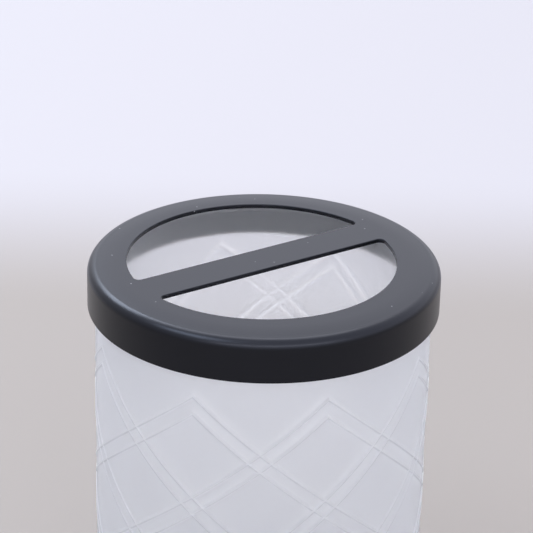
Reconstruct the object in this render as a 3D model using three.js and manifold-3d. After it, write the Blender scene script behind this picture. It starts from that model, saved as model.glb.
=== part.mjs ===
// Toothbrush holder: a round frosted-glass tumbler under a black pressed-steel lid.
// The lid has two D-shaped openings with a straight bar between them, and a soft
// liner ring inside it keeps the steel off the glass rim.
//
// Millimetres, +Z up. The origin is the centre of the foot, on the surface it stands on.
// The bar of the lid runs along X.
import * as THREE from "three";
import { mergeVertices } from "three/addons/utils/BufferGeometryUtils.js";
import Module from "manifold-3d";

const wasm = await Module();
wasm.setup();

// ---- Driving dimensions ----
const OVERALL_HEIGHT = 105;
const LID_RADIUS = 39;
const LID_HEIGHT = 10;
const SHEET = 1;
const SHOULDER_RADIUS = 2.2;
const OPENING_RADIUS = 29.8;
const OPENING_SHIFT = 1.1;
const BAR_WIDTH = 9.3;
const OPENING_CORNER = 1.2;

const GLASS_RADIUS = 37.5;
const GLASS_WALL = 3;
const GLASS_BASE = 8;
const HEEL_RADIUS = 5;
const FLOOR_FILLET = 6;
const PUNT_RADIUS = 20;
const PUNT_DEPTH = 1;
const PUNT_SLOPE = 3;

const FLANGE_THICKNESS = 1;
const LINER_CLEARANCE = 0.1;
const LINER_LEG = 7;

// ---- Worked out from them ----
const TURN_SEGMENTS = 72;
const ARC_STEPS = 4;
const OPENING_STEPS = 30;
const QUARTER = Math.PI / 2;
const LID_UNDERSIDE = OVERALL_HEIGHT - SHEET;
const SKIRT_BOTTOM = OVERALL_HEIGHT - LID_HEIGHT;
const SHOULDER_R = LID_RADIUS - SHOULDER_RADIUS;
const SHOULDER_Z = OVERALL_HEIGHT - SHOULDER_RADIUS;
const RIM_RADIUS = GLASS_WALL / 2 - LINER_CLEARANCE;
const RIM_TOP = LID_UNDERSIDE - FLANGE_THICKNESS - LINER_CLEARANCE;
const BORE_RADIUS = GLASS_RADIUS - GLASS_WALL;

// Points along an arc in the plane, both ends included.
function arc(x, y, radius, from, to, steps = ARC_STEPS) {
  return Array.from({ length: steps + 1 }, (_, i) => {
    const angle = from + ((to - from) * i) / steps;
    return new THREE.Vector2(x + radius * Math.cos(angle), y + radius * Math.sin(angle));
  });
}

const point = (r, z) => new THREE.Vector2(r, z);

// A profile of (radius, height) points turned about Z. It runs up the outside.
function turned(profile) {
  return new THREE.LatheGeometry(profile, TURN_SEGMENTS).rotateX(QUARTER);
}

// ---- Joining and cutting ----
function solidOf(geometry) {
  const bare = geometry.clone();
  bare.deleteAttribute("normal");
  bare.deleteAttribute("uv");
  const merged = mergeVertices(bare, 1e-4);
  return new wasm.Manifold(
    new wasm.Mesh({
      numProp: 3,
      vertProperties: merged.attributes.position.array,
      triVerts: new Uint32Array(merged.index.array),
    }),
  );
}

function geometryOf(solid) {
  const mesh = solid.getMesh();
  const geometry = new THREE.BufferGeometry();
  geometry.setAttribute("position", new THREE.BufferAttribute(mesh.vertProperties, 3));
  geometry.setIndex(new THREE.BufferAttribute(mesh.triVerts, 1));
  geometry.computeVertexNormals();
  return geometry;
}

// ---- Tumbler: straight wall, rounded heel, thick base with a shallow punt ----
function tumblerGeometry() {
  const rimCentre = RIM_TOP - RIM_RADIUS;
  return turned([
    point(0, PUNT_DEPTH),
    point(PUNT_RADIUS, PUNT_DEPTH),
    point(PUNT_RADIUS + PUNT_SLOPE, 0),
    ...arc(GLASS_RADIUS - HEEL_RADIUS, HEEL_RADIUS, HEEL_RADIUS, -QUARTER, 0),
    ...arc(GLASS_RADIUS - RIM_RADIUS, rimCentre, RIM_RADIUS, 0, QUARTER),
    ...arc(BORE_RADIUS + RIM_RADIUS, rimCentre, RIM_RADIUS, QUARTER, 2 * QUARTER),
    ...arc(BORE_RADIUS - FLOOR_FILLET, GLASS_BASE + FLOOR_FILLET, FLOOR_FILLET, 0, -QUARTER),
    point(0, GLASS_BASE),
  ]);
}

// ---- Lid: a drawn cap, then the two openings stamped through its top ----

// The half-round hole on one side of the bar, with its two corners rounded. Both holes and the
// bar are stamped OPENING_SHIFT behind the centre of the lid.
function openingOutline() {
  const chord = BAR_WIDTH / 2;
  const cornerY = chord + OPENING_CORNER;
  const cornerX = Math.sqrt((OPENING_RADIUS - OPENING_CORNER) ** 2 - cornerY ** 2);
  const blend = Math.atan2(cornerY, cornerX);
  return new THREE.Shape([
    ...arc(cornerX, cornerY, OPENING_CORNER, -QUARTER, blend),
    ...arc(0, 0, OPENING_RADIUS, blend, Math.PI - blend, OPENING_STEPS).slice(1, -1),
    ...arc(-cornerX, cornerY, OPENING_CORNER, Math.PI - blend, 3 * QUARTER),
  ]);
}

function lidGeometry() {
  const inner = SHOULDER_RADIUS - SHEET;
  const cap = turned([
    point(0, LID_UNDERSIDE),
    ...arc(SHOULDER_R, SHOULDER_Z, inner, QUARTER, 0),
    point(LID_RADIUS - SHEET, SKIRT_BOTTOM),
    point(LID_RADIUS, SKIRT_BOTTOM),
    ...arc(SHOULDER_R, SHOULDER_Z, SHOULDER_RADIUS, 0, QUARTER),
    point(0, OVERALL_HEIGHT),
  ]);
  const punchDepth = 4 * SHEET;
  const punch = new THREE.ExtrudeGeometry(openingOutline(), { depth: punchDepth, bevelEnabled: false });
  punch.translate(0, 0, LID_UNDERSIDE - SHEET);
  const frontPunch = punch.clone().rotateZ(Math.PI).translate(0, OPENING_SHIFT, 0);
  const backPunch = punch.translate(0, OPENING_SHIFT, 0);
  return geometryOf(solidOf(cap).subtract(solidOf(frontPunch)).subtract(solidOf(backPunch)));
}

// ---- Liner: an L-section ring between the glass rim and the inside of the lid ----
function linerGeometry() {
  const outerArc = SHOULDER_RADIUS - SHEET - LINER_CLEARANCE;
  const innerArc = RIM_RADIUS + LINER_CLEARANCE / 2;
  const rimR = GLASS_RADIUS - RIM_RADIUS;
  const rimZ = RIM_TOP - RIM_RADIUS;
  const legBottom = LID_UNDERSIDE - LINER_LEG;
  const legInner = GLASS_RADIUS + LINER_CLEARANCE / 2;
  const legOuter = SHOULDER_R + outerArc;
  const section = [
    point(legOuter, legBottom),
    ...arc(SHOULDER_R, SHOULDER_Z, outerArc, 0, QUARTER),
    point(BORE_RADIUS, SHOULDER_Z + outerArc),
    point(BORE_RADIUS, RIM_TOP + LINER_CLEARANCE / 2),
    ...arc(rimR, rimZ, innerArc, QUARTER, 0),
    point(legInner, legBottom),
    point(legOuter, legBottom),
  ];
  return turned(section);
}

// ---- Assembly ----
const frostedGlass = new THREE.MeshStandardMaterial({
  color: 0xd5dadf,
  roughness: 0.45,
  metalness: 0,
  transparent: true,
  opacity: 0.8,
});
const blackCoat = new THREE.MeshStandardMaterial({ color: 0x26272a, roughness: 0.42, metalness: 0.1 });
const softLiner = new THREE.MeshStandardMaterial({ color: 0x1c1d1f, roughness: 0.6, metalness: 0 });

function piece(name, geometry, material) {
  const mesh = new THREE.Mesh(geometry, material);
  mesh.name = name;
  return mesh;
}

const holder = new THREE.Group();
holder.name = "toothbrush_holder";
holder.add(piece("glass_tumbler", tumblerGeometry(), frostedGlass));
holder.add(piece("lid_liner_ring", linerGeometry(), softLiner));
holder.add(piece("lid_cap", lidGeometry(), blackCoat));

export default holder;
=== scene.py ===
# %% [markdown]
# # A glass toothbrush holder with a barred black lid
#
# The holder is a frosted tumbler, a loose pressed-steel lid and a soft ring between them. Its plain
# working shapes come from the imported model, in metres, with +Z up and the bar of the lid along X. Here
# each of the three pieces gets its fine surface and its finish. Sizes are read from the boxes of the
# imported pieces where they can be, and the rest are named values: millimetres for the holder, metres for
# the floor and the lights.

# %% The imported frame
import math

import bmesh
import bpy
import numpy as np
from mathutils import Matrix, Vector


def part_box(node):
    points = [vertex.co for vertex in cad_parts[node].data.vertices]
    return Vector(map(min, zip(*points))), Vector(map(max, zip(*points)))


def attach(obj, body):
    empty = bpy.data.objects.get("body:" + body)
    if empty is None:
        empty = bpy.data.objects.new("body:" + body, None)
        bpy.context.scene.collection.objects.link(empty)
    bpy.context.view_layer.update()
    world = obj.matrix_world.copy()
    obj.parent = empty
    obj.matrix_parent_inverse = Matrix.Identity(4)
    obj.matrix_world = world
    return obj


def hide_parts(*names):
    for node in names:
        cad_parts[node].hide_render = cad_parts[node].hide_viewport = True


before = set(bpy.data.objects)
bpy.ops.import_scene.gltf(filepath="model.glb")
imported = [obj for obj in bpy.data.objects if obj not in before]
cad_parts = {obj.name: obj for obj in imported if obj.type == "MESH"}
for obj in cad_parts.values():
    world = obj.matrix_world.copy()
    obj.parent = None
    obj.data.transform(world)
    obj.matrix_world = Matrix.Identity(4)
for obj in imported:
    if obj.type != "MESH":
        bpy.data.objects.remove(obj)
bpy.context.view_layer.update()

MM = 0.001


def box_mm(node):
    """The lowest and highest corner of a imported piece, in millimetres."""
    low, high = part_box(node)
    return np.array(low) / MM, np.array(high) / MM


lid_low, lid_high = box_mm("lid_cap")
_, glass_high = box_mm("glass_tumbler")
liner_low, liner_high = box_mm("lid_liner_ring")
lid_radius, lid_top, skirt_bottom = lid_high[0], lid_high[2], lid_low[2]
glass_radius, rim_top = glass_high[0], glass_high[2]
print("lid", round(2 * lid_radius, 2), "mm across, top at", round(lid_top, 2), "mm")
print("glass", round(2 * glass_radius, 2), "mm across, rim at", round(rim_top, 2), "mm")

# %% [markdown]
# ## The camera
#
# The holder is seen from above its rim, from about half a metre, through a long lens, so its sides hardly
# converge. The bar of the lid runs from near left to far right, which puts the camera 34 degrees
# round from the front. The frame cuts the glass off a third of the way down, and the camera is tipped a
# little, so the object leans to its right. A rotation matrix is written from three directions: forward,
# right and up, the last two turned about the first by the roll. Pitch, yaw and roll are in radians.

# %% Camera
CAMERA_AZIMUTH = math.radians(-34.0)
CAMERA_DISTANCE = 476.5
CAMERA_ABOVE_SKIRT = 232.6
CAMERA_PITCH = 0.4395
CAMERA_YAW = 0.0010
CAMERA_ROLL = 0.0235
CAMERA_LENS = 161.3
CAMERA_SENSOR = 36


def turned_about_z(vector, angle):
    """The vector turned anticlockwise about Z, seen from above."""
    c, s = math.cos(angle), math.sin(angle)
    return np.array([c * vector[0] - s * vector[1], s * vector[0] + c * vector[1], vector[2]])


def make_camera():
    """A camera whose local axes are right, up and back, the first two rolled about the last."""
    level = math.cos(CAMERA_PITCH)
    forward = np.array([math.sin(CAMERA_YAW) * level, math.cos(CAMERA_YAW) * level, -math.sin(CAMERA_PITCH)])
    forward = turned_about_z(forward, CAMERA_AZIMUTH)
    right = np.cross(forward, [0, 0, 1])
    right /= np.linalg.norm(right)
    up = np.cross(right, forward)
    c, s = math.cos(CAMERA_ROLL), math.sin(CAMERA_ROLL)
    right, up = c * right + s * up, c * up - s * right
    place = turned_about_z([0, -CAMERA_DISTANCE, skirt_bottom + CAMERA_ABOVE_SKIRT], CAMERA_AZIMUTH) * MM
    lens = bpy.data.cameras.new("camera")
    lens.sensor_width = CAMERA_SENSOR
    lens.lens = CAMERA_LENS
    camera = bpy.data.objects.new("camera", lens)
    axes = np.stack([right, up, -forward], axis=1)
    camera.matrix_world = Matrix([[*row, at] for row, at in zip(axes, place)] + [[0, 0, 0, 1]])
    bpy.context.scene.collection.objects.link(camera)
    bpy.context.scene.camera = camera
    return forward


view_forward = make_camera()
print("the camera looks along", np.round(view_forward, 3))

# %% [markdown]
# ## Surfaces as arrays
#
# Every surface here is a grid: a row of points repeated along a second direction. One function gives the
# points of an arc, one gives the faces of a grid, and one turns several grids into a closed mesh by
# joining the points they share.

# %% Arcs, grids and closed meshes
JOIN_DISTANCE = 0.002


def arc(centre, radius, start, end, steps):
    """Points centre + radius (cos a, sin a), with a running evenly from start to end in degrees."""
    a = np.radians(np.linspace(start, end, steps + 1))
    return np.stack([centre[0] + radius * np.cos(a), centre[1] + radius * np.sin(a)], axis=1)


def grid_faces(rows, columns):
    """The quads of a grid stored row by row, whose last column joins the first."""
    r = np.arange(rows - 1)[:, None] * columns
    c = np.arange(columns)[None, :]
    n = (c + 1) % columns
    return np.stack([r + c, r + n, r + columns + n, r + columns + c], axis=-1).reshape(-1, 4)


def revolved(profile, angles):
    """A profile of (radius, height) points turned about Z: x = r cos a, y = r sin a, z = h."""
    r, h = profile[:, :1], profile[:, 1:]
    points = np.stack([r * np.cos(angles), r * np.sin(angles), h + 0 * angles], axis=-1)
    return points.reshape(-1, 3), grid_faces(len(profile), len(angles)).tolist()


def closed_piece(name, patches, finishes):
    """One mesh from patches of (points in mm, faces, which finish, shares of painted shade or nothing).

    Points within JOIN_DISTANCE join, and faces turn out. The shares of painted shade become a point
    attribute.
    """
    mesh = bpy.data.meshes.new(name)
    start, points, faces, which, painted_shade_flanks = 0, [], [], [], []
    for patch_points, patch_faces, finish, *painted_shade_flank in patches:
        points.append(patch_points)
        painted_shade_flanks.append(painted_shade_flank[0] if painted_shade_flank else np.zeros(len(patch_points)))
        faces += [[start + i for i in face] for face in patch_faces]
        which += [finish] * len(patch_faces)
        start += len(patch_points)
    mesh.from_pydata((np.concatenate(points) * MM).tolist(), [], faces)
    mesh.polygons.foreach_set("material_index", which)
    # The shares of the painted shade on the lower flanks of the glass.
    mesh.attributes.new("painted_shade_flank", "FLOAT", "POINT").data.foreach_set("value", np.concatenate(painted_shade_flanks))
    work = bmesh.new()
    work.from_mesh(mesh)
    bmesh.ops.remove_doubles(work, verts=work.verts, dist=JOIN_DISTANCE * MM)
    bmesh.ops.recalc_face_normals(work, faces=work.faces)
    open_edges = sum(not edge.is_manifold for edge in work.edges)
    work.to_mesh(mesh)
    work.free()
    mesh.polygons.foreach_set("use_smooth", np.ones(len(mesh.polygons), dtype=bool))
    mesh.update()
    piece = bpy.data.objects.new(name, mesh)
    bpy.context.scene.collection.objects.link(piece)
    for finish in finishes:
        mesh.materials.append(finish)
    triangles = sum(len(p.vertices) - 2 for p in mesh.polygons)
    print(name, triangles, "triangles,", open_edges, "open edges")
    return piece


# %% [markdown]
# ## Shader sums as Python
#
# A finish is a tree of nodes. The small class below wraps one socket, so that a sum written in Python
# adds the Math nodes for it. Every other node comes from one method, which sets the node up before it
# fills its sockets.

# %% Sockets that add up


class Wire:
    """An output socket that can be added, multiplied and compared like a number."""

    def __init__(self, finish, socket):
        self.finish = finish
        self.socket = socket

    def __add__(self, other):
        return self.finish.maths("ADD", self, other)

    def __sub__(self, other):
        return self.finish.maths("SUBTRACT", self, other)

    def __rsub__(self, other):
        return self.finish.maths("SUBTRACT", other, self)

    def __mul__(self, other):
        return self.finish.maths("MULTIPLY", self, other)

    def __gt__(self, other):
        return self.finish.maths("GREATER_THAN", self, other)

    def __lt__(self, other):
        return self.finish.maths("LESS_THAN", self, other)

    __radd__ = __add__
    __rmul__ = __mul__


class Finish:
    """The node tree of a material, or of the world."""

    def __init__(self, owner):
        self.owner = owner
        owner.use_nodes = True
        self.tree = owner.node_tree
        self.tree.nodes.clear()

    def node(self, kind, settings=None, sockets=None, output=0):
        """Adds a node: first its settings, then the values or wires of its sockets. Gives one output."""
        made = self.tree.nodes.new(kind)
        for key, value in (settings or {}).items():
            setattr(made, key, value)
        for key, value in (sockets or {}).items():
            if isinstance(value, Wire):
                self.tree.links.new(value.socket, made.inputs[key])
            elif value is not None:
                made.inputs[key].default_value = value
        return Wire(self, made.outputs[output])

    def maths(self, operation, a, b=None):
        """A sum of one or two wires or numbers."""
        return self.node("ShaderNodeMath", {"operation": operation}, {0: a, 1: b})

    def place(self):
        """Where a point is, in the object's own metres."""
        return self.node("ShaderNodeTexCoord", output="Object")

    def part(self, vector, axis):
        """One coordinate of a vector: 0 is X, 1 is Y and 2 is Z."""
        return self.node("ShaderNodeSeparateXYZ", None, {0: vector}, output=axis)

    def along(self, vector, direction):
        """How far a vector reaches along a direction."""
        sockets = {0: vector, 1: tuple(direction)}
        return self.node("ShaderNodeVectorMath", {"operation": "DOT_PRODUCT"}, sockets, output=1)

    def soft_step(self, value, start, end, first=0.0, last=1.0):
        """Goes smoothly from first to last, while value goes from start to end."""
        sockets = {"Value": value, "From Min": start, "From Max": end, "To Min": first, "To Max": last}
        return self.node("ShaderNodeMapRange", {"interpolation_type": "SMOOTHSTEP"}, sockets)

    def noise(self, size_mm, detail):
        """Smooth noise from 0 to 1 whose lumps are about size_mm across."""
        sockets = {"Vector": self.place(), "Scale": 1 / (size_mm * MM), "Detail": detail}
        return self.node("ShaderNodeTexNoise", {"noise_dimensions": "3D"}, sockets)

    def blend(self, share, a, b):
        """Colour a where share is 0 and colour b where it is 1."""
        return self.node("ShaderNodeMix", {"data_type": "RGBA"}, {0: share, 6: a, 7: b}, output=2)

    def bump(self, height, depth_mm, strength):
        """A normal tilted by a height from 0 to 1 that stands depth_mm high."""
        sockets = {"Height": height, "Distance": depth_mm * MM, "Strength": strength}
        return self.node("ShaderNodeBump", None, sockets)

    def end(self, kind, shader):
        """Ends the tree in an output node."""
        self.tree.links.new(shader.socket, self.tree.nodes.new(kind).inputs["Surface"])
        return self.owner

    def close(self, **sockets):
        """Ends the tree in a Principled shader. Names are those of its sockets, with _ for a space."""
        named = {name.replace("_", " "): value for name, value in sockets.items()}
        return self.end("ShaderNodeOutputMaterial", self.node("ShaderNodeBsdfPrincipled", None, named))


# %% [markdown]
# ## The black coat
#
# The lid is steel under a baked powder coat: nearly black, with a satin skin that is very slightly
# pebbled. A dark satin surface is seen mostly by what it mirrors, so the colour stays low and the
# roughness does the work. A few grains of dust lie on its top, as pale dots a third of a millimetre
# across: each cell of a Voronoi pattern whose random value is high enough gets one dot at its centre.

# %% Finish of the lid
DUST_SPACING = 3.0
DUST_SIZE = 0.055
DUST_THRESHOLD = 0.3
DUST_COVER = 0.5
DUST_DEPTH = 0.6
DUST_TONE = (0.35, 0.35, 0.36, 1)
COAT_DARK = (0.0025, 0.0026, 0.0032, 1)
COAT_LIGHT = (0.004, 0.0041, 0.0049, 1)
COAT_IOR = 1.37
COAT_SHEEN = (0.79, 0.83, 1.0, 1)


def black_coat():
    """Satin black, with dust on what lies within DUST_DEPTH of the top."""
    coat = Finish(bpy.data.materials.new("black_powder_coat"))
    cells = {"Vector": coat.place(), "Scale": 1 / (DUST_SPACING * MM), "Randomness": 1.0}
    distance = coat.node("ShaderNodeTexVoronoi", {"feature": "F1"}, cells)
    chance = coat.node("ShaderNodeTexVoronoi", {"feature": "F1"}, cells, output=1)
    on_top = coat.part(coat.place(), 2) > (lid_top - DUST_DEPTH) * MM
    chosen = coat.node("ShaderNodeSeparateColor", None, {0: chance}) > DUST_THRESHOLD
    dust = (distance < DUST_SIZE) * chosen * on_top
    cloud = coat.noise(14, detail=3)
    grain = coat.noise(0.35, detail=1)
    return coat.close(
        Base_Color=coat.blend(dust * DUST_COVER, coat.blend(cloud, COAT_DARK, COAT_LIGHT), DUST_TONE),
        Roughness=0.27 + 0.05 * cloud + 0.04 * grain,
        IOR=COAT_IOR,
        Specular_Tint=COAT_SHEEN,
        Normal=coat.bump(grain, 0.012, 0.35),
    )


black_finish = black_coat()

# %% [markdown]
# ## The lattice in numbers
#
# Pairs of thin raised lines cross the wall of the glass in both directions, eight crossings round and
# seven rows high. They are needed twice: for the relief outside, and for soft painted bright lines inside.
# The pattern is a little uneven: towards the back it is turned a little, and it sits a few millimetres
# higher.

# %% Lattice measures
ROUND_COUNT = 8
ROW_PITCH = 12.3
FIRST_CROSSING = 74.9
HIGHEST_ROW, LOWEST_ROW = 1, -5
RIDGE_HEIGHT = 0.2
RIDGE_HALF_WIDTH = 0.5
PAIR_HALF_GAP = 1.6
DRIFT_ROUND, DRIFT_UP = 0.097, 4.8

step_round = 2 * math.pi * glass_radius / ROUND_COUNT
line_spacing = step_round * 2 * ROW_PITCH / math.hypot(step_round, 2 * ROW_PITCH)
lattice_lean = math.degrees(math.atan2(2 * ROW_PITCH, step_round))
print("lattice lines lean", round(lattice_lean, 1), "degrees, with pairs", round(line_spacing, 2), "mm apart")

# %% [markdown]
# ## The glass, frosted outside and hazy inside
#
# Frosting is a skin of tiny pits etched into the outer face. A thing that touches the outside, such as
# the skirt of the lid, therefore shows through the wall with a fairly sharp edge, and anything further
# away is a soft blur. The inner face is smoother, so the tumbler has two finishes on one mesh. Part of
# the light is also scattered straight back by the pits, which is the white share of the outer face.
#
# Outside, the lower flank of each raised line gets a painted shade, a darker tone in the colour of the frost,
# which the mesh marks with a point attribute.
# Inside, the lines are painted as soft bright light: the inner face repeats the lattice as a pale blur in its
# colour and as a painted glow, over a faint painted glow that stands in for what scatters within the wall.

# %% Finishes of the tumbler
# Painted shade outside: how far the lower flank of each raised line is darkened.
PAINTED_FLANK_SHADE = 0.48
# Painted light inside: the half width of the painted bright lines, a faint painted glow over the whole inner
# face, and the painted glow of the lines.
PAINTED_LINE_HALF_WIDTH = 0.85
PAINTED_INSIDE_GLOW = (0.022, 0.023, 0.028, 1)
PAINTED_LINE_GLOW = (0.105, 0.107, 0.111, 1)
GLASS_IOR = 1.5
FROST_DARK = (0.89, 0.903, 0.922, 1)
FROST_LIGHT = (0.91, 0.918, 0.937, 1)
# The colour of the painted shade on the lower flanks.
PAINTED_SHADE_TONE = (0.25, 0.26, 0.28, 1)
INSIDE_DARK = (0.93, 0.94, 0.95, 1)
INSIDE_LIGHT = (0.945, 0.955, 0.965, 1)
# The colour of the painted bright lines inside.
PAINTED_LINE_WHITE = (1, 1, 1, 1)


def painted_line_share(glass):
    """From 0 to 1, where bright lines of light are painted on the inner face, as a soft copy of the lattice:
    the formulas of the mesh as shader maths.

    With the angle counted from the front and b = (1 - cos angle) / 2, turn = (angle + DRIFT_ROUND b) / step
    and climb = (z - DRIFT_UP b^2 - FIRST_CROSSING) / (2 ROW_PITCH). One family of lines is where
    turn + climb is whole, and the other where turn - climb is whole. In the highest row the lines meet in
    roofs, and the copy stops above the lowest row.
    """
    x, y, z = (glass.part(glass.place(), axis) for axis in range(3))
    angle = glass.maths("ARCTAN2", y, x) + (math.pi / 2 - CAMERA_AZIMUTH)
    behind = 0.5 - 0.5 * glass.maths("COSINE", angle)
    turn = (angle + DRIFT_ROUND * behind) * (ROUND_COUNT / (2 * math.pi))
    climb = (z * (1 / MM) - DRIFT_UP * behind * behind - FIRST_CROSSING) * (1 / (2 * ROW_PITCH))
    p, q = turn + climb, turn - climb
    near_p, near_q = glass.maths("ROUND", p), glass.maths("ROUND", q)
    dp, dq = (p - near_p) * line_spacing, (q - near_q) * line_spacing
    row = near_p - near_q

    def line(distance):
        """From 0 to 1, how near a place is to one line of a pair, from its distance to the pair's middle."""
        off = glass.maths("ABSOLUTE", glass.maths("ABSOLUTE", distance) - PAIR_HALF_GAP)
        return glass.soft_step(off, 0.0, PAINTED_LINE_HALF_WIDTH, 1.0, 0.0)

    below_roofs, in_pattern = row < HIGHEST_ROW - 0.5, row < HIGHEST_ROW + 0.5
    crossed = glass.maths("MAXIMUM", line(dp), line(dq)) * below_roofs * (row > LOWEST_ROW + 0.5)
    return crossed + line(glass.maths("MAXIMUM", dp, 0 - dq)) * (in_pattern - below_roofs)


def frosted_glass():
    """The outer face, the rim and the base, with a painted shade on the lower flank of each raised line."""
    frost = Finish(bpy.data.materials.new("frosted_glass"))
    cloud = frost.noise(18, detail=3)
    grain = frost.noise(0.16, detail=1)
    # The share of painted shade on the lower flanks, from the mesh.
    painted_shade_flank = frost.node("ShaderNodeAttribute", {"attribute_name": "painted_shade_flank"}, output=2)
    return frost.close(
        Base_Color=frost.blend(PAINTED_FLANK_SHADE * painted_shade_flank, frost.blend(cloud, FROST_DARK, FROST_LIGHT), PAINTED_SHADE_TONE),
        Roughness=0.50 + 0.08 * cloud,
        IOR=GLASS_IOR,
        Transmission_Weight=0.87,
        Normal=frost.bump(grain, 0.01, 0.3),
    )


def clear_glass():
    """The inner face, with painted bright lines and a faint painted glow."""
    clear = Finish(bpy.data.materials.new("clear_glass"))
    cloud = clear.noise(9, detail=2)
    # Painted light: the lattice lines are painted bright in colour and glow, and the whole face glows
    # faintly.
    lines = painted_line_share(clear)
    return clear.close(
        Base_Color=clear.blend(lines, clear.blend(cloud, INSIDE_DARK, INSIDE_LIGHT), PAINTED_LINE_WHITE),
        Roughness=0.40 + 0.04 * cloud,
        IOR=GLASS_IOR,
        Transmission_Weight=1.0,
        Emission_Color=clear.blend(lines, PAINTED_INSIDE_GLOW, PAINTED_LINE_GLOW),
        Emission_Strength=1.0,
    )


frosted_finish, clear_finish = frosted_glass(), clear_glass()

# %% [markdown]
# ## The liner's finish
#
# The ring is soft black rubber. It is matt and very faintly mottled, as such mouldings are.

# %% Finish of the liner
RUBBER_DARK = (0.02, 0.02, 0.022, 1)
RUBBER_LIGHT = (0.03, 0.03, 0.032, 1)


def soft_liner():
    """Matt black rubber."""
    soft = Finish(bpy.data.materials.new("soft_liner"))
    cloud = soft.noise(5, detail=3)
    grain = soft.noise(0.3, detail=1)
    return soft.close(
        Base_Color=soft.blend(cloud, RUBBER_DARK, RUBBER_LIGHT),
        Roughness=0.5 + 0.12 * grain,
        Normal=soft.bump(grain, 0.01, 0.3),
    )


liner_finish = soft_liner()

# %% [markdown]
# ## The lid
#
# The lid is one sheet, drawn into a shallow cap, with two openings stamped through its top. The turned
# part, from the openings outwards, is a profile revolved about Z. The flat part with the D-shaped
# openings cannot be turned, so it is a strip for each opening: the rows of the strip start at the edge of
# the flat part, reach the outline of the opening, roll over its edge, go down through the sheet and come
# back underneath. The outline can be grown by any amount, because a chord, an arc and two corner arcs
# stay what they are when they are offset. Both openings, and so the bar, sit a little behind the centre
# of the lid. Outside them the top falls very slightly to its shoulder, as a drawn sheet does.

# %% Outline of an opening
SHEET = 1.0
SHOULDER = 2.2
EDGE = 0.18
CROWN = 0.22
OPENING_RADIUS = 29.8
OPENING_SHIFT = 1.1
HALF_BAR = 4.65
OPENING_CORNER = 1.2
PLATE_RADIUS = 32.0
CHORD_STEPS, CORNER_STEPS, ARC_STEPS = 60, 10, 150

corner_y = HALF_BAR + OPENING_CORNER
corner_x = math.sqrt((OPENING_RADIUS - OPENING_CORNER) ** 2 - corner_y**2)
corner_angle = math.degrees(math.atan2(corner_y, corner_x))
plate_corner = 180 * CORNER_STEPS / (ARC_STEPS + 2 * CORNER_STEPS)


def opening_outline(grown):
    """The D, grown outwards: chord, corner arc, round arc, corner arc, anticlockwise from the left."""
    along = np.linspace(-corner_x, corner_x, CHORD_STEPS + 1)
    chord = np.stack([along, np.full(CHORD_STEPS + 1, HALF_BAR - grown)], axis=1)
    small, large = OPENING_CORNER + grown, OPENING_RADIUS + grown
    right = arc((corner_x, corner_y), small, -90, corner_angle, CORNER_STEPS)
    top = arc((0, 0), large, corner_angle, 180 - corner_angle, ARC_STEPS)
    left = arc((-corner_x, corner_y), small, 180 - corner_angle, 270, CORNER_STEPS)
    return np.concatenate([chord[:-1], right[:-1], top[:-1], left[:-1]])


def plate_outline():
    """The half disc round the D, with the same number of points on each stretch."""
    along = np.linspace(-PLATE_RADIUS, PLATE_RADIUS, CHORD_STEPS + 1)
    chord = np.stack([along, np.zeros(CHORD_STEPS + 1)], axis=1)
    right = arc((0, 0), PLATE_RADIUS, 0, plate_corner, CORNER_STEPS)
    top = arc((0, 0), PLATE_RADIUS, plate_corner, 180 - plate_corner, ARC_STEPS)
    left = arc((0, 0), PLATE_RADIUS, 180 - plate_corner, 180, CORNER_STEPS)
    return np.concatenate([chord[:-1], right[:-1], top[:-1], left[:-1]])


print("an opening is", round(OPENING_RADIUS - HALF_BAR, 1), "mm deep and", round(2 * corner_x, 1), "mm long")

# %% Mesh of the lid
ROLL_REACH = 2.5 * EDGE
SKIRT_START = 0.6
UNDER_START = 0.8


def opening_strip(shift):
    """The strip of flat sheet round the opening at +Y, which is moved by shift, and its faces.

    ROLL_REACH is how far outside the opening the sheet is flat again.
    """
    top, under = lid_top, lid_top - SHEET
    rolled = np.concatenate([
        [(ROLL_REACH, top)],
        arc((EDGE, top - EDGE), EDGE, 90, 180, 5),
        arc((EDGE, under + EDGE), EDGE, 180, 270, 5),
        [(ROLL_REACH, under)],
    ])
    flat_edge = plate_outline()
    rows = [flat_edge] + [opening_outline(grown) + [0, shift] for grown, _ in rolled] + [flat_edge]
    heights = [top] + [height for _, height in rolled] + [under]
    strip = np.concatenate([np.c_[row, np.full(len(row), height)] for row, height in zip(rows, heights)])
    return strip, grid_faces(len(rows), len(flat_edge)).tolist()


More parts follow.
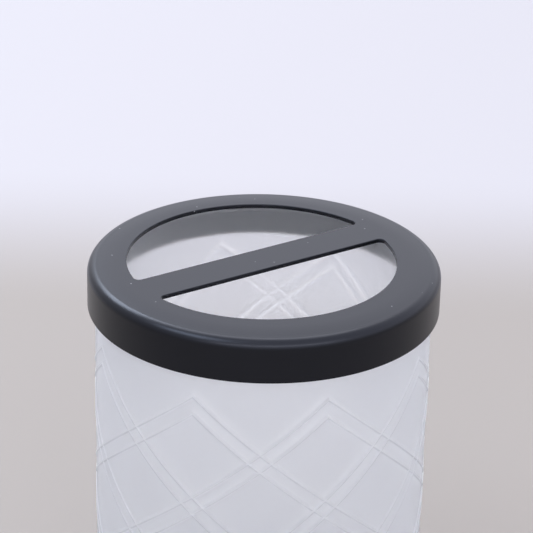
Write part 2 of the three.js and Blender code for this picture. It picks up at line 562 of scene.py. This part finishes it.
def lid_patches():
    """The strips round the two openings and the turned cap outside them, all on one set of angles.

    From the flat part to the shoulder the top falls by CROWN times the square of the share of the way.
    SKIRT_START and UNDER_START are where the straight parts begin beside the shoulder.
    """
    back, faces = opening_strip(OPENING_SHIFT)
    front, _ = opening_strip(-OPENING_SHIFT)
    front = front * [-1, -1, 1]
    under = lid_top - SHEET
    half = np.unique(np.round(np.concatenate([
        np.linspace(0, plate_corner, CORNER_STEPS + 1),
        np.linspace(plate_corner, 180 - plate_corner, ARC_STEPS + 1),
        np.linspace(180 - plate_corner, 180, CORNER_STEPS + 1),
    ]), 9))[:-1]
    angles = np.radians(np.concatenate([half, half + 180]))
    inner, centre = SHOULDER - SHEET, (lid_radius - SHOULDER, lid_top - SHOULDER)
    fall = np.linspace(0, 1, 9)
    lean = math.atan2(2 * CROWN, centre[0] - PLATE_RADIUS)
    crown = np.stack([PLATE_RADIUS + (centre[0] - PLATE_RADIUS) * fall, lid_top - CROWN * fall**2], axis=1)
    wall, mid_skirt = lid_radius - SHEET, (lid_top - SHOULDER + skirt_bottom) / 2
    profile = np.concatenate([
        crown,
        arc((centre[0], centre[1] - CROWN), SHOULDER, 90 - math.degrees(lean), 0, 16),
        [(lid_radius, height) for height in (centre[1] - SKIRT_START, mid_skirt, skirt_bottom + 2 * EDGE)],
        arc((lid_radius - EDGE, skirt_bottom + EDGE), EDGE, 0, -90, 4),
        arc((wall + EDGE, skirt_bottom + EDGE), EDGE, -90, -180, 4),
        [(wall, mid_skirt), (wall, centre[1] - SKIRT_START)],
        arc(centre, inner, 0, 90, 10),
        [(centre[0] - UNDER_START, under), (PLATE_RADIUS, under)],
    ])
    turned_points, turned_faces = revolved(profile, angles)
    return [(back, faces, 0), (front, faces, 0), (turned_points, turned_faces, 0)]


lid = closed_piece("barred_lid", lid_patches(), [black_finish])

# %% [markdown]
# ## The liner ring
#
# The liner is an L-shaped section turned about Z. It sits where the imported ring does, between the rounded
# rim of the glass and the inside of the lid, with every corner a little rounded.

# %% Mesh of the liner
LINER_INNER = 34.5
LINER_ROUND = 0.15
LINER_GAP = 0.05
LEG_START = 1.0
RIM_ROUND = 1.45


def liner_patches():
    """A closed section: outer leg, shoulder, flange, its rounded inner edge, then back round the rim.

    The section stays LINER_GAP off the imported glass, and RIM_ROUND rounds its hollow over the rim.
    """
    outer, bottom, top = liner_high[0], liner_low[2], liner_high[2]
    centre = (lid_radius - SHOULDER, lid_top - SHOULDER)
    rim_centre = (glass_radius - RIM_ROUND + LINER_GAP, rim_top - RIM_ROUND + LINER_GAP)
    flange_under = rim_centre[1] + RIM_ROUND
    leg_inner = rim_centre[0] + RIM_ROUND
    edge = LINER_INNER + LINER_ROUND
    leg_round = (outer - leg_inner) / 2
    section = np.concatenate([
        [(outer, bottom + LEG_START)],
        arc(centre, outer - centre[0], 0, 90, 10),
        arc((edge, top - LINER_ROUND), LINER_ROUND, 90, 180, 4),
        arc((edge, flange_under + LINER_ROUND), LINER_ROUND, 180, 270, 4),
        arc(rim_centre, RIM_ROUND, 90, 0, 10),
        arc((outer - leg_round, bottom + leg_round), leg_round, 180, 360, 6),
    ])
    section = np.concatenate([section, section[:1]])
    points, faces = revolved(section, np.radians(np.arange(0, 360, 1.5)))
    return [(points, faces, 0)]


liner = closed_piece("liner_ring", liner_patches(), [liner_finish])

# %% [markdown]
# ## The tumbler and its lattice
#
# A plain grid of rings and columns would need millions of faces to keep thin slanting lines straight.
# Instead the grid itself is slanted: with p = turn + height and q = turn - height, counted in whole
# lattice steps, one family of lines is where p is whole and the other where q is whole. Grid lines of
# constant p and constant q are crowded across the raised lines and sparse between them, so every line
# is crisp and the mesh stays small. The grid ends at the top and bottom on its own diagonals, which are
# level rings, and there it meets the turned rim and base. The drift towards the back moves the finished
# grid, and the steepness of the pattern marks the lower flanks, where the glass gets a painted shade.

# %% Heights of the pattern
FLANK_STEP = 0.02


def lattice_samples():
    """Places in one lattice step, from 0 to 1, crowded across the two raised lines of the pair at 0."""
    across = RIDGE_HALF_WIDTH * np.array([-1.5, -1, -0.75, -0.5, -0.25, 0, 0.25, 0.5, 0.75, 1, 1.5])
    wide = np.linspace(PAIR_HALF_GAP + across[-1], line_spacing / 2, 5)[1:]
    half = np.concatenate([PAIR_HALF_GAP + across, wide])
    return np.sort(np.concatenate([[0], half, line_spacing - half[:-1]])) / line_spacing


def ridge(distance):
    """Height of a raised line at a distance from its middle: a rounded bump, cos squared across its width."""
    inside = np.clip(np.abs(distance) / RIDGE_HALF_WIDTH, 0, 1)
    return np.cos(inside * np.pi / 2) ** 2


def lattice_height(p, q):
    """Height of the pattern: both pairs of lines, or the bent pair where the lattice turns at its ends.

    Where two lines cross, their heights a and b run together softly, as the fourth root of a^4 + b^4.
    """
    near_p, near_q = np.round(p), np.round(q)
    dp, dq = (p - near_p) * line_spacing, (q - near_q) * line_spacing
    row = near_p - near_q
    first, second = ridge(np.abs(dp) - PAIR_HALF_GAP), ridge(np.abs(dq) - PAIR_HALF_GAP)
    crossed = (first**4 + second**4) ** 0.25
    roof = ridge(np.abs(np.maximum(dp, -dq)) - PAIR_HALF_GAP)
    trough = ridge(np.abs(np.maximum(-dp, dq)) - PAIR_HALF_GAP)
    bent = np.where(row == HIGHEST_ROW, roof, np.where(row == LOWEST_ROW, trough, crossed))
    return RIDGE_HEIGHT * np.where((row > HIGHEST_ROW) | (row < LOWEST_ROW), 0, bent)


def lower_flank(p, q):
    """From 0 to 1, how steeply the pattern rises with height: 1 is the lower side of a raised line, where the
    painted shade goes.
    """
    step = FLANK_STEP / (2 * ROW_PITCH)
    rise = lattice_height(p + step, q - step) - lattice_height(p - step, q + step)
    return np.clip(rise / rise.max(), 0, 1)


# %% Mesh of the tumbler
WALL = 3.0
BASE = 8.0
HEEL = 5.0
FLOOR_FILLET = 6.0
FLOOR_RINGS = (27, 18, 6, 0)
PUNT_RADIUS, PUNT_DEPTH, PUNT_SLOPE = 20.0, 1.0, 10.5
PUNT_RINGS = (19, 8, 0)
LATTICE_BOTTOM_EDGE = 10.5
WALL_BOTTOM = 6.0
INSIDE_START = 3.0
RING_GAP = 1.0
DRIFT_FADE = 8


def lattice_wall():
    """The outer wall as a slanted grid: its points, faces and shares of painted shade, then the angles of
    its top and bottom rings and their heights.

    The pattern is a little uneven round the back: with b = (1 - cos angle) / 2, from 0 at the front to 1
    at the back, it is turned back by DRIFT_ROUND b and raised by DRIFT_UP b^2, which fades at both ends.
    Below LATTICE_BOTTOM_EDGE the plain end of the grid is squeezed, so that it stops at WALL_BOTTOM.
    """
    samples = lattice_samples()
    per_step = len(samples)
    columns = ROUND_COUNT * per_step
    low, high = (LOWEST_ROW - 1) * per_step, (HIGHEST_ROW + 1) * per_step
    level = np.arange(low, high + 1)[:, None]
    q_index = np.arange(columns)[None, :] + 0 * level
    p_index = q_index + level
    p = p_index // per_step + samples[p_index % per_step]
    q = q_index // per_step + samples[q_index % per_step]
    angle = math.pi * (p + q) / ROUND_COUNT + CAMERA_AZIMUTH - math.pi / 2
    height = FIRST_CROSSING + ROW_PITCH * (p - q)
    behind = (1 - np.cos(angle - CAMERA_AZIMUTH + math.pi / 2)) / 2
    climb = (height - height.min()) / (height.max() - height.min())
    angle = angle - DRIFT_ROUND * behind
    height = height + DRIFT_UP * behind**2 * (1 - climb**DRIFT_FADE) * (1 - (1 - climb) ** DRIFT_FADE)
    squeezed = (LATTICE_BOTTOM_EDGE - WALL_BOTTOM) / (LATTICE_BOTTOM_EDGE - height.min())
    below = LATTICE_BOTTOM_EDGE - height
    height = np.where(below > 0, LATTICE_BOTTOM_EDGE - below * squeezed, height)
    radius = glass_radius - RIDGE_HEIGHT + lattice_height(p, q)
    points = np.stack([radius * np.cos(angle), radius * np.sin(angle), height], axis=-1).reshape(-1, 3)
    # Where the painted shade of the lower flanks goes.
    painted_shade_flank = lower_flank(p, q).reshape(-1)

    rows = high - low
    r = np.arange(1, rows)[:, None] * columns
    c = np.arange(columns)
    n = (c + 1) % columns
    quads = np.stack([r + c, r - columns + n, r + n, r + columns + c], axis=-1).reshape(-1, 4)
    bottom = np.stack([c, n, columns + c], axis=-1)
    top = np.stack([rows * columns + c, (rows - 1) * columns + n, rows * columns + n], axis=-1)
    faces = quads.tolist() + bottom.tolist() + top.tolist()
    return points, faces, painted_shade_flank, angle[-1], angle[0], height[-1, 0], height[0, 0]


def tumbler_patches():
    """The lattice wall, the rim and the inside above it, and the heel and hollow foot below it.

    INSIDE_START is how far below the rim the straight bore has its first ring, and RING_GAP is how far
    beside a curve the next straight part has one.
    """
    points, faces, painted_shade_flank, top_angles, bottom_angles, wall_top, wall_bottom = lattice_wall()
    outer, bore = glass_radius - RIDGE_HEIGHT, glass_radius - WALL
    rim = (outer - bore) / 2
    rim_centre = (bore + rim, rim_top - rim)
    over_rim = np.concatenate([[(outer, wall_top)], arc(rim_centre, rim, 0, 90, 7)])
    bore_heights = np.linspace(rim_centre[1] - INSIDE_START, BASE + FLOOR_FILLET + RING_GAP, 8)
    inside = np.concatenate([
        arc(rim_centre, rim, 90, 180, 7),
        np.stack([np.full(len(bore_heights), bore), bore_heights], axis=1),
        arc((bore - FLOOR_FILLET, BASE + FLOOR_FILLET), FLOOR_FILLET, 0, -90, 20),
        [(radius, BASE) for radius in FLOOR_RINGS],
    ])
    share = np.linspace(0, 1, 13)
    slope_out, slope_up = PUNT_SLOPE * (1 - share), PUNT_DEPTH * share**2 * (3 - 2 * share)
    underneath = np.concatenate([
        [(outer, wall_bottom)],
        arc((outer - HEEL, HEEL), HEEL, 0, -90, 10),
        [(PUNT_RADIUS + PUNT_SLOPE + RING_GAP, 0)],
        np.stack([PUNT_RADIUS + slope_out, slope_up], axis=1),
        [(radius, PUNT_DEPTH) for radius in PUNT_RINGS],
    ])
    rim_points, rim_faces = revolved(over_rim, top_angles)
    inside_points, inside_faces = revolved(inside, top_angles)
    foot_points, foot_faces = revolved(underneath, bottom_angles)
    return [(points, faces, 0, painted_shade_flank), (rim_points, rim_faces, 0), (inside_points, inside_faces, 1),
            (foot_points, foot_faces, 0)]


tumbler = closed_piece("lattice_tumbler", tumbler_patches(), [frosted_finish, clear_finish])

# %% [markdown]
# ## Riding on the frame
#
# Each fine piece moves with the body of the imported piece that it stands for.

# %% Bodies and replaced pieces
for piece, body, node, slot in (
    (tumbler, "glass", "glass_tumbler", "frosted_glass"),
    (liner, "liner", "lid_liner_ring", "soft_liner"),
    (lid, "lid", "lid_cap", "black_coated_steel"),
):
    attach(piece, body)
    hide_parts(node)

# %% [markdown]
# ## Floor and light
#
# The holder stands on one plain floor, a warm grey that turns paler and cooler some way behind it. The
# light is a bright room, dimmer from the left, with four soft panels: a cool one at the front left, a low
# wide strip in front, a large one high behind, and a cool one at the back left. The room is what the top
# of the lid mirrors, and the panels draw the soft bright lines along its shoulder. Colours are shown with
# the plain view transform, which leaves them as the light makes them.

# %% Floor
FLOOR_HALF = 3.0
TABLE_EDGE = 0.2425
TABLE_BLEND = 0.0575
TABLE_NEAR = (0.229, 0.206, 0.187, 1)
TABLE_FAR = (0.339, 0.326, 0.340, 1)


def make_floor():
    """A plain square, whose tone changes where a point lies TABLE_EDGE metres behind the holder."""
    paint = Finish(bpy.data.materials.new("floor_paint"))
    level = np.array([view_forward[0], view_forward[1], 0])
    level /= np.linalg.norm(level)
    ahead = paint.along(paint.place(), level)
    far = paint.soft_step(ahead, TABLE_EDGE - TABLE_BLEND, TABLE_EDGE + TABLE_BLEND)
    paint.close(Base_Color=paint.blend(far, TABLE_NEAR, TABLE_FAR), Roughness=0.7)
    mesh = bpy.data.meshes.new("floor")
    s = FLOOR_HALF
    mesh.from_pydata([(-s, -s, 0), (s, -s, 0), (s, s, 0), (-s, s, 0)], [], [(0, 1, 2, 3)])
    mesh.materials.append(paint.owner)
    floor = bpy.data.objects.new("floor", mesh)
    bpy.context.scene.collection.objects.link(floor)


make_floor()

# %% Lights
LIGHT_DISTANCE = 1.5
WINDOW_BLUE, BACK_BLUE, NEUTRAL = (0.80, 0.90, 1.0), (0.80, 0.89, 1.0), (1, 1, 1)


def area_light(name, azimuth, elevation, width, depth, power, colour):
    """A soft panel facing the lid. Azimuth 0 is behind the camera, and positive is to its right."""
    turn, rise = math.radians(azimuth), math.radians(elevation)
    level = math.cos(rise)
    way = turned_about_z([math.sin(turn) * level, -math.cos(turn) * level, math.sin(rise)], CAMERA_AZIMUTH)
    aim = np.array([0, 0, skirt_bottom * MM])
    data = bpy.data.lights.new(name, "AREA")
    data.shape, data.size, data.size_y, data.energy, data.color = "RECTANGLE", width, depth, power, colour
    light = bpy.data.objects.new(name, data)
    light.location = aim + LIGHT_DISTANCE * way
    light.rotation_mode = "QUATERNION"
    light.rotation_quaternion = Vector(way).to_track_quat("Z", "Y")
    bpy.context.scene.collection.objects.link(light)


for name, azimuth, elevation, width, depth, power, colour in (
    ("window", -62, 54, 0.8, 0.5, 9, WINDOW_BLUE),
    ("front_strip", 8, 29, 2.2, 0.2, 8, NEUTRAL),
    ("ceiling", 180, 62, 1.0, 0.75, 8, NEUTRAL),
    ("back_left", -146, 40, 0.7, 0.4, 9, BACK_BLUE),
):
    area_light(name, azimuth, elevation, width, depth, power, colour)

# %% Room
ROOM_RISE = math.sin(math.radians(12))
HORIZON = (0.86, 0.85, 0.92, 1)
ROOM = (1.57, 1.60, 1.79, 1)
LEFT_START, LEFT_DIM = 0.1, 0.5
BLACK = (0, 0, 0, 1)


def make_room():
    """Light from all round: dimmer at the horizon, full from 12 degrees up, and dimmer at the left."""
    room = Finish(bpy.data.worlds.new("room"))
    direction = room.node("ShaderNodeTexCoord", output="Generated")
    up = room.soft_step(room.part(direction, 2), 0.0, ROOM_RISE)
    left = room.along(direction, turned_about_z([-1, 0, 0], CAMERA_AZIMUTH))
    dim = room.soft_step(left, LEFT_START, 1.0, 0.0, LEFT_DIM)
    colour = room.blend(dim, room.blend(up, HORIZON, ROOM), BLACK)
    room.end("ShaderNodeOutputWorld", room.node("ShaderNodeBackground", None, {"Color": colour}))
    bpy.context.scene.world = room.owner


make_room()
bpy.context.scene.view_settings.view_transform = "Standard"
